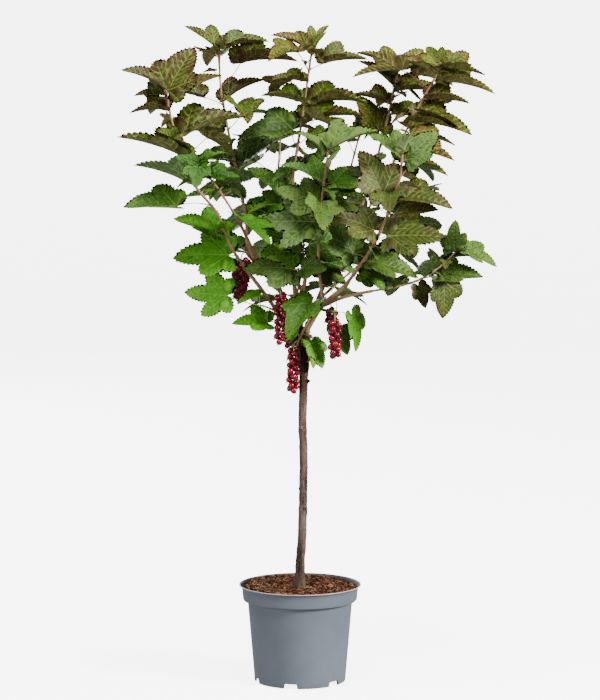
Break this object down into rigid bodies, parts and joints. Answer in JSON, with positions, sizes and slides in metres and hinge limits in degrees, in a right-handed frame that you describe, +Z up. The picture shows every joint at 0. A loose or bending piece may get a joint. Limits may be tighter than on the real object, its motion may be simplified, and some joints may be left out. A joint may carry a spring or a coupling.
{
  "type": "potted redcurrant tree",
  "caption": "Redcurrant grown as a small standard tree in a grey nursery pot, with a bare stem, a knotty head, an open leafy crown and hanging clusters of berries.",
  "frame": {"origin": "middle of the pot's flat underside", "axes": "+Z up along the stem, -Y towards the front of the plant, +X to the right when seen from the front"},
  "size_m": [0.5807, 0.4509, 1.0188],
  "materials": {
    "pot_plastic": "satin",
    "soil": "matte",
    "bark": "matte",
    "shoot_bark": "satin",
    "foliage": "satin",
    "leaf_stalks": "satin",
    "fruit": "gloss"
  },
  "bodies": {
    "root": {"pot": "pot_plastic", "soil": "soil", "trunk": "bark", "bough_far_left": "shoot_bark", "bough_left": "shoot_bark", "bough_leader": "shoot_bark", "bough_right": "shoot_bark", "bough_back_right": "shoot_bark", "bough_back": "shoot_bark", "bough_inner": "shoot_bark", "bough_low_right": "shoot_bark", "bough_upright_right": "shoot_bark", "bough_front_left": "shoot_bark", "bough_back_left": "shoot_bark", "bough_low_back": "shoot_bark", "leaves_far_left": "foliage", "leaves_left": "foliage", "leaves_leader": "foliage", "leaves_right": "foliage", "leaves_back_right": "foliage", "leaves_back": "foliage", "leaves_inner": "foliage", "leaves_low_right": "foliage", "leaves_upright_right": "foliage", "leaves_front_left": "foliage", "leaves_back_left": "foliage", "leaves_low_back": "foliage", "spur_front": "foliage", "spur_far_left": "foliage", "spur_left": "foliage", "spur_low_left": "foliage", "spur_outer_left": "foliage", "spur_right": "foliage", "spur_middle": "foliage", "spur_back_left": "foliage", "spur_back_right": "foliage"}
  },
  "joints": []
}
